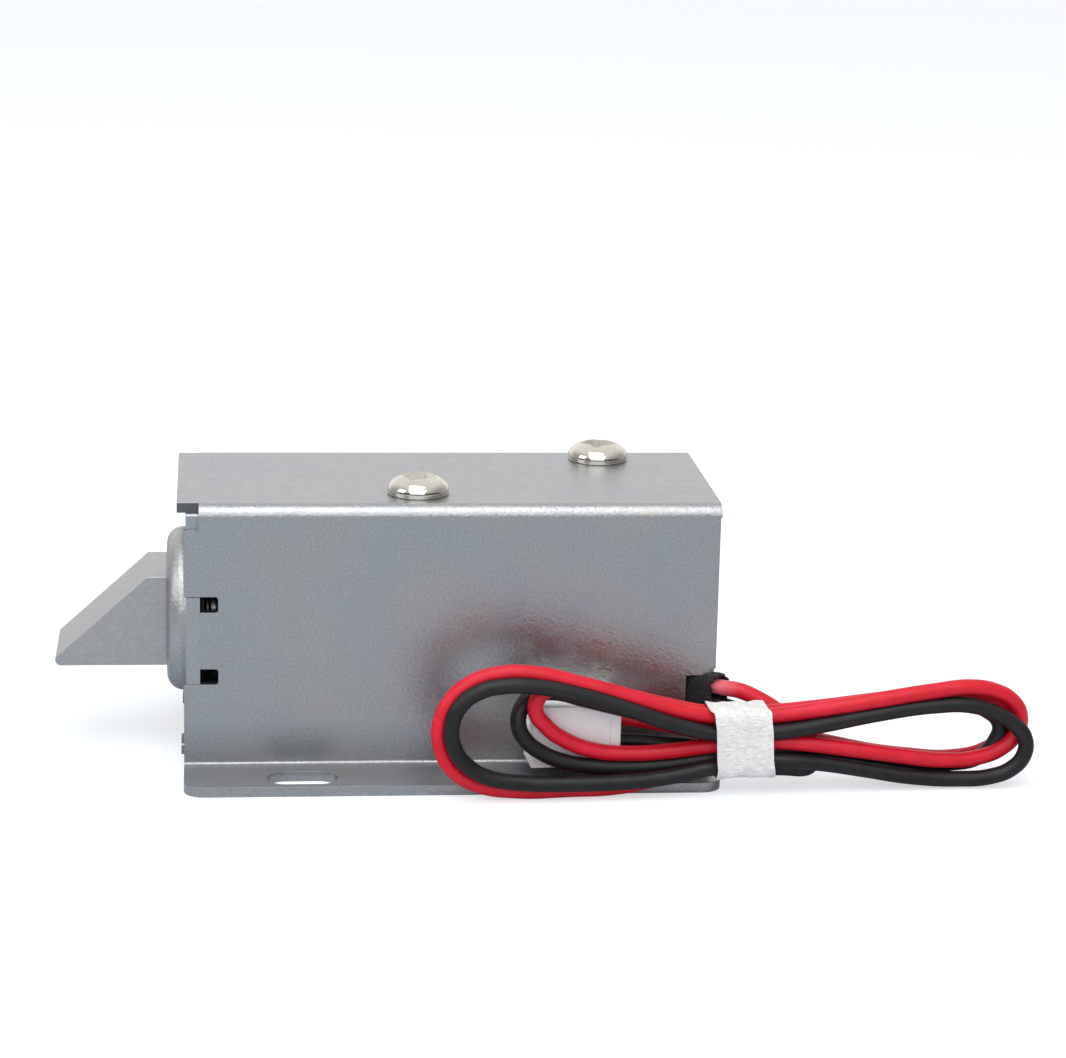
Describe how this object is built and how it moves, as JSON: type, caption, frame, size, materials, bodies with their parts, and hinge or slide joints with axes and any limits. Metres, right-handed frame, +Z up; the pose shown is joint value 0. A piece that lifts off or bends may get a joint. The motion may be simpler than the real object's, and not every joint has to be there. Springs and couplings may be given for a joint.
{
  "type": "solenoid lock",
  "caption": "Cabinet lock: a folded zinc-plated steel case with slotted flanges and a sprung bevelled latch bolt that a coil pulls in, with tied red and black leads.",
  "frame": {"origin": "between the four mounting slots, on the underside of the flanges", "axes": "+Z up from the mounting face, -X the way the bolt points, -Y the side with the leads"},
  "size_m": [0.0974, 0.0429, 0.0293],
  "materials": {
    "zinc_plate": "dull blue-grey zinc plate",
    "zinc_plate_nose": "dull zinc plate",
    "zinc_plate_base": "dull zinc plate",
    "bright_nickel": "bright, a little yellow",
    "frame_steel": "plated steel",
    "bobbin_nylon": "natural nylon",
    "copper_wire": "enamelled copper winding",
    "yellow_tape": "polyester tape",
    "sleeve_brass": "drawn brass",
    "terminal_tin": "tinned",
    "cast_zinc": "satin cast zinc",
    "pin_steel": "ground steel",
    "plunger_steel": "turned, plated steel",
    "spring_steel": "drawn wire",
    "black_cloth": "black cloth sleeve",
    "red_insulation": "glossy insulation",
    "black_insulation": "satin insulation",
    "lead_bundle": "red and black leads side by side",
    "paper_tape": "creped paper tape",
    "white_nylon": "white nylon"
  },
  "bodies": {
    "lock_case": {"case_cover": "zinc_plate", "nose_plate": "zinc_plate_nose", "base_plate": "zinc_plate_base", "cover_screws": "bright_nickel", "solenoid_frame": "frame_steel", "coil_bobbin": "bobbin_nylon", "coil_winding": "copper_wire", "winding_tape": "yellow_tape", "plunger_sleeve": "sleeve_brass", "pole_piece": "frame_steel", "pole_shim": "sleeve_brass", "coil_terminals": "terminal_tin", "wire_sleeve": "black_cloth", "red_lead": "red_insulation", "black_lead": "black_insulation", "lead_hank": "lead_bundle", "lead_tie": "paper_tape", "connector_housing": "white_nylon", "connector_contacts": "terminal_tin", "return_spring": "spring_steel"},
    "bolt": {"latch_bolt": "cast_zinc", "bolt_pin": "pin_steel", "plunger": "plunger_steel"}
  },
  "joints": [
    {"name": "bolt_slide", "type": "slide", "parent": "lock_case", "child": "bolt", "axis": [1, 0, 0], "range_m": [0, 0.01], "stiffness_N_per_m": 150, "springref_m": -0.01, "deforming": ["return_spring"]}
  ]
}
